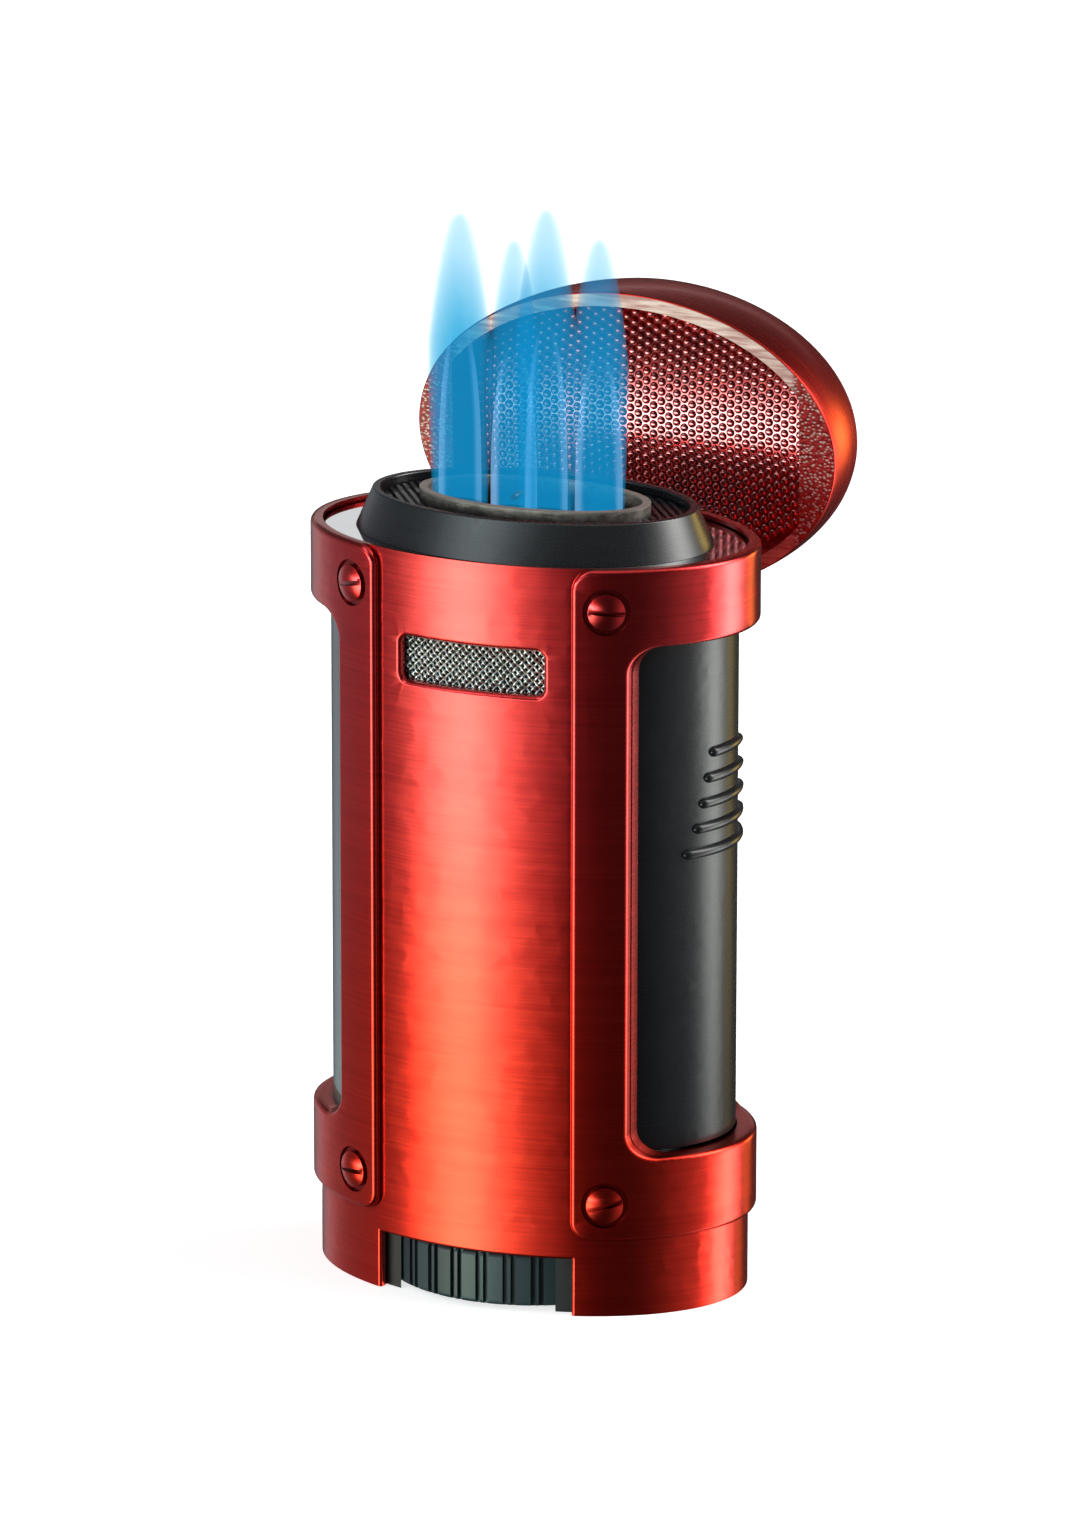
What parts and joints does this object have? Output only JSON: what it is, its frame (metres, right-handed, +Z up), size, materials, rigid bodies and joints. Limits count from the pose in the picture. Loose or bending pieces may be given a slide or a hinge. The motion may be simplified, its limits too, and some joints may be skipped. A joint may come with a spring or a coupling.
{
  "type": "jet torch lighter",
  "caption": "Oval pocket torch lighter with a side trigger, hinged lid, shrouded jets, flame wheel in the base and refill valve.",
  "frame": {"origin": "centre of the base's bottom plane, at the mouth of the refill valve", "axes": "+Z up through the burner, +X towards the trigger, -Y the front with the vent window; the lid hinge is at +Y and the lid is drawn open"},
  "size_m": [0.04, 0.0412, 0.0821],
  "materials": {
    "red_lacquer": "candy red lacquer over brushed metal",
    "screw_steel": "satin, slotted heads",
    "mesh_wire": "woven wire",
    "smoked_plastic": "smoked gloss",
    "black_plastic": "satin black, moulded",
    "wheel_plastic": "blue-black, moulded ribs",
    "steel": "plain turned steel",
    "brass": "turned brass",
    "tank_plastic": "translucent grey",
    "rubber": "matt",
    "frame_plastic": "grey, moulded",
    "piezo_plastic": "blue, moulded",
    "zinc": "die cast",
    "worn_brass": "heat-browned, worn",
    "ceramic": "heat-stained ceramic",
    "lead_plastic": "insulated lead",
    "mirror_chrome": "mirror polished"
  },
  "bodies": {
    "case": {"case_shell": "red_lacquer", "side_frame_right": "red_lacquer", "side_frame_left": "red_lacquer", "frame_screws": "red_lacquer", "vent_mesh": "mesh_wire", "fuel_window": "smoked_plastic", "trigger_pin": "steel", "base_plate": "black_plastic", "base_screws": "steel", "fill_valve": "brass", "fuel_tank": "tank_plastic", "tank_seal": "rubber", "tank_cap": "tank_plastic", "gas_valve": "brass", "lever_pin": "steel", "inner_frame": "frame_plastic", "piezo_body": "piezo_plastic", "burner_block": "zinc", "jet_nozzles": "brass", "gas_tube": "brass", "burner_shroud": "worn_brass", "nozzle_plate": "ceramic", "spark_electrode": "steel", "electrode_insulator": "ceramic", "ignition_lead": "lead_plastic", "deck_plate": "mirror_chrome", "collar": "black_plastic", "collar_insert": "black_plastic", "hinge_bracket": "steel", "hinge_pin": "steel", "lid_spring": "steel"},
    "trigger": {"trigger": "black_plastic"},
    "plunger": {"piezo_plunger": "frame_plastic"},
    "lever": {"valve_lever": "steel"},
    "stem": {"valve_stem": "brass"},
    "wheel": {"flame_wheel": "wheel_plastic"},
    "sleeve": {"regulator_sleeve": "brass"},
    "lid": {"lid_shell": "red_lacquer", "lid_liner": "red_lacquer", "lid_arm": "steel", "lid_screws": "steel"}
  },
  "joints": [
    {"name": "lid_hinge", "type": "hinge", "parent": "case", "child": "lid", "pos_m": [0, 0.0106, 0.0579], "axis": [1, 0, 0], "range_deg": [0, 88]},
    {"name": "trigger_pivot", "type": "hinge", "parent": "case", "child": "trigger", "pos_m": [0.0148, 0, 0.0154], "axis": [0, -1, 0], "range_deg": [0, 5.2]},
    {"name": "plunger_slide", "type": "slide", "parent": "case", "child": "plunger", "axis": [-1, 0, 0], "range_m": [0, 0.0026]},
    {"name": "lever_pivot", "type": "hinge", "parent": "case", "child": "lever", "pos_m": [0.013, 0, 0.0366], "axis": [0, 1, 0], "range_deg": [0, 3.7]},
    {"name": "stem_slide", "type": "slide", "parent": "case", "child": "stem", "axis": [0, 0, 1], "range_m": [0, 0.00085]},
    {"name": "wheel_turn", "type": "hinge", "parent": "case", "child": "wheel", "pos_m": [0, 0, 0.00265], "axis": [0, 0, 1], "range_deg": [-135, 135]},
    {"name": "sleeve_thread", "type": "slide", "parent": "wheel", "child": "sleeve", "axis": [0, 0, 1], "range_m": [-0.00028, 0.00028]}
  ],
  "couplings": [
    {"joint": "plunger_slide", "follows": "trigger_pivot", "m_per_rad": 0.02725},
    {"joint": "lever_pivot", "follows": "trigger_pivot", "ratio": 0.6825},
    {"joint": "stem_slide", "follows": "trigger_pivot", "m_per_rad": 0.0089},
    {"joint": "sleeve_thread", "follows": "wheel_turn", "m_per_rad": 0.0000796}
  ]
}
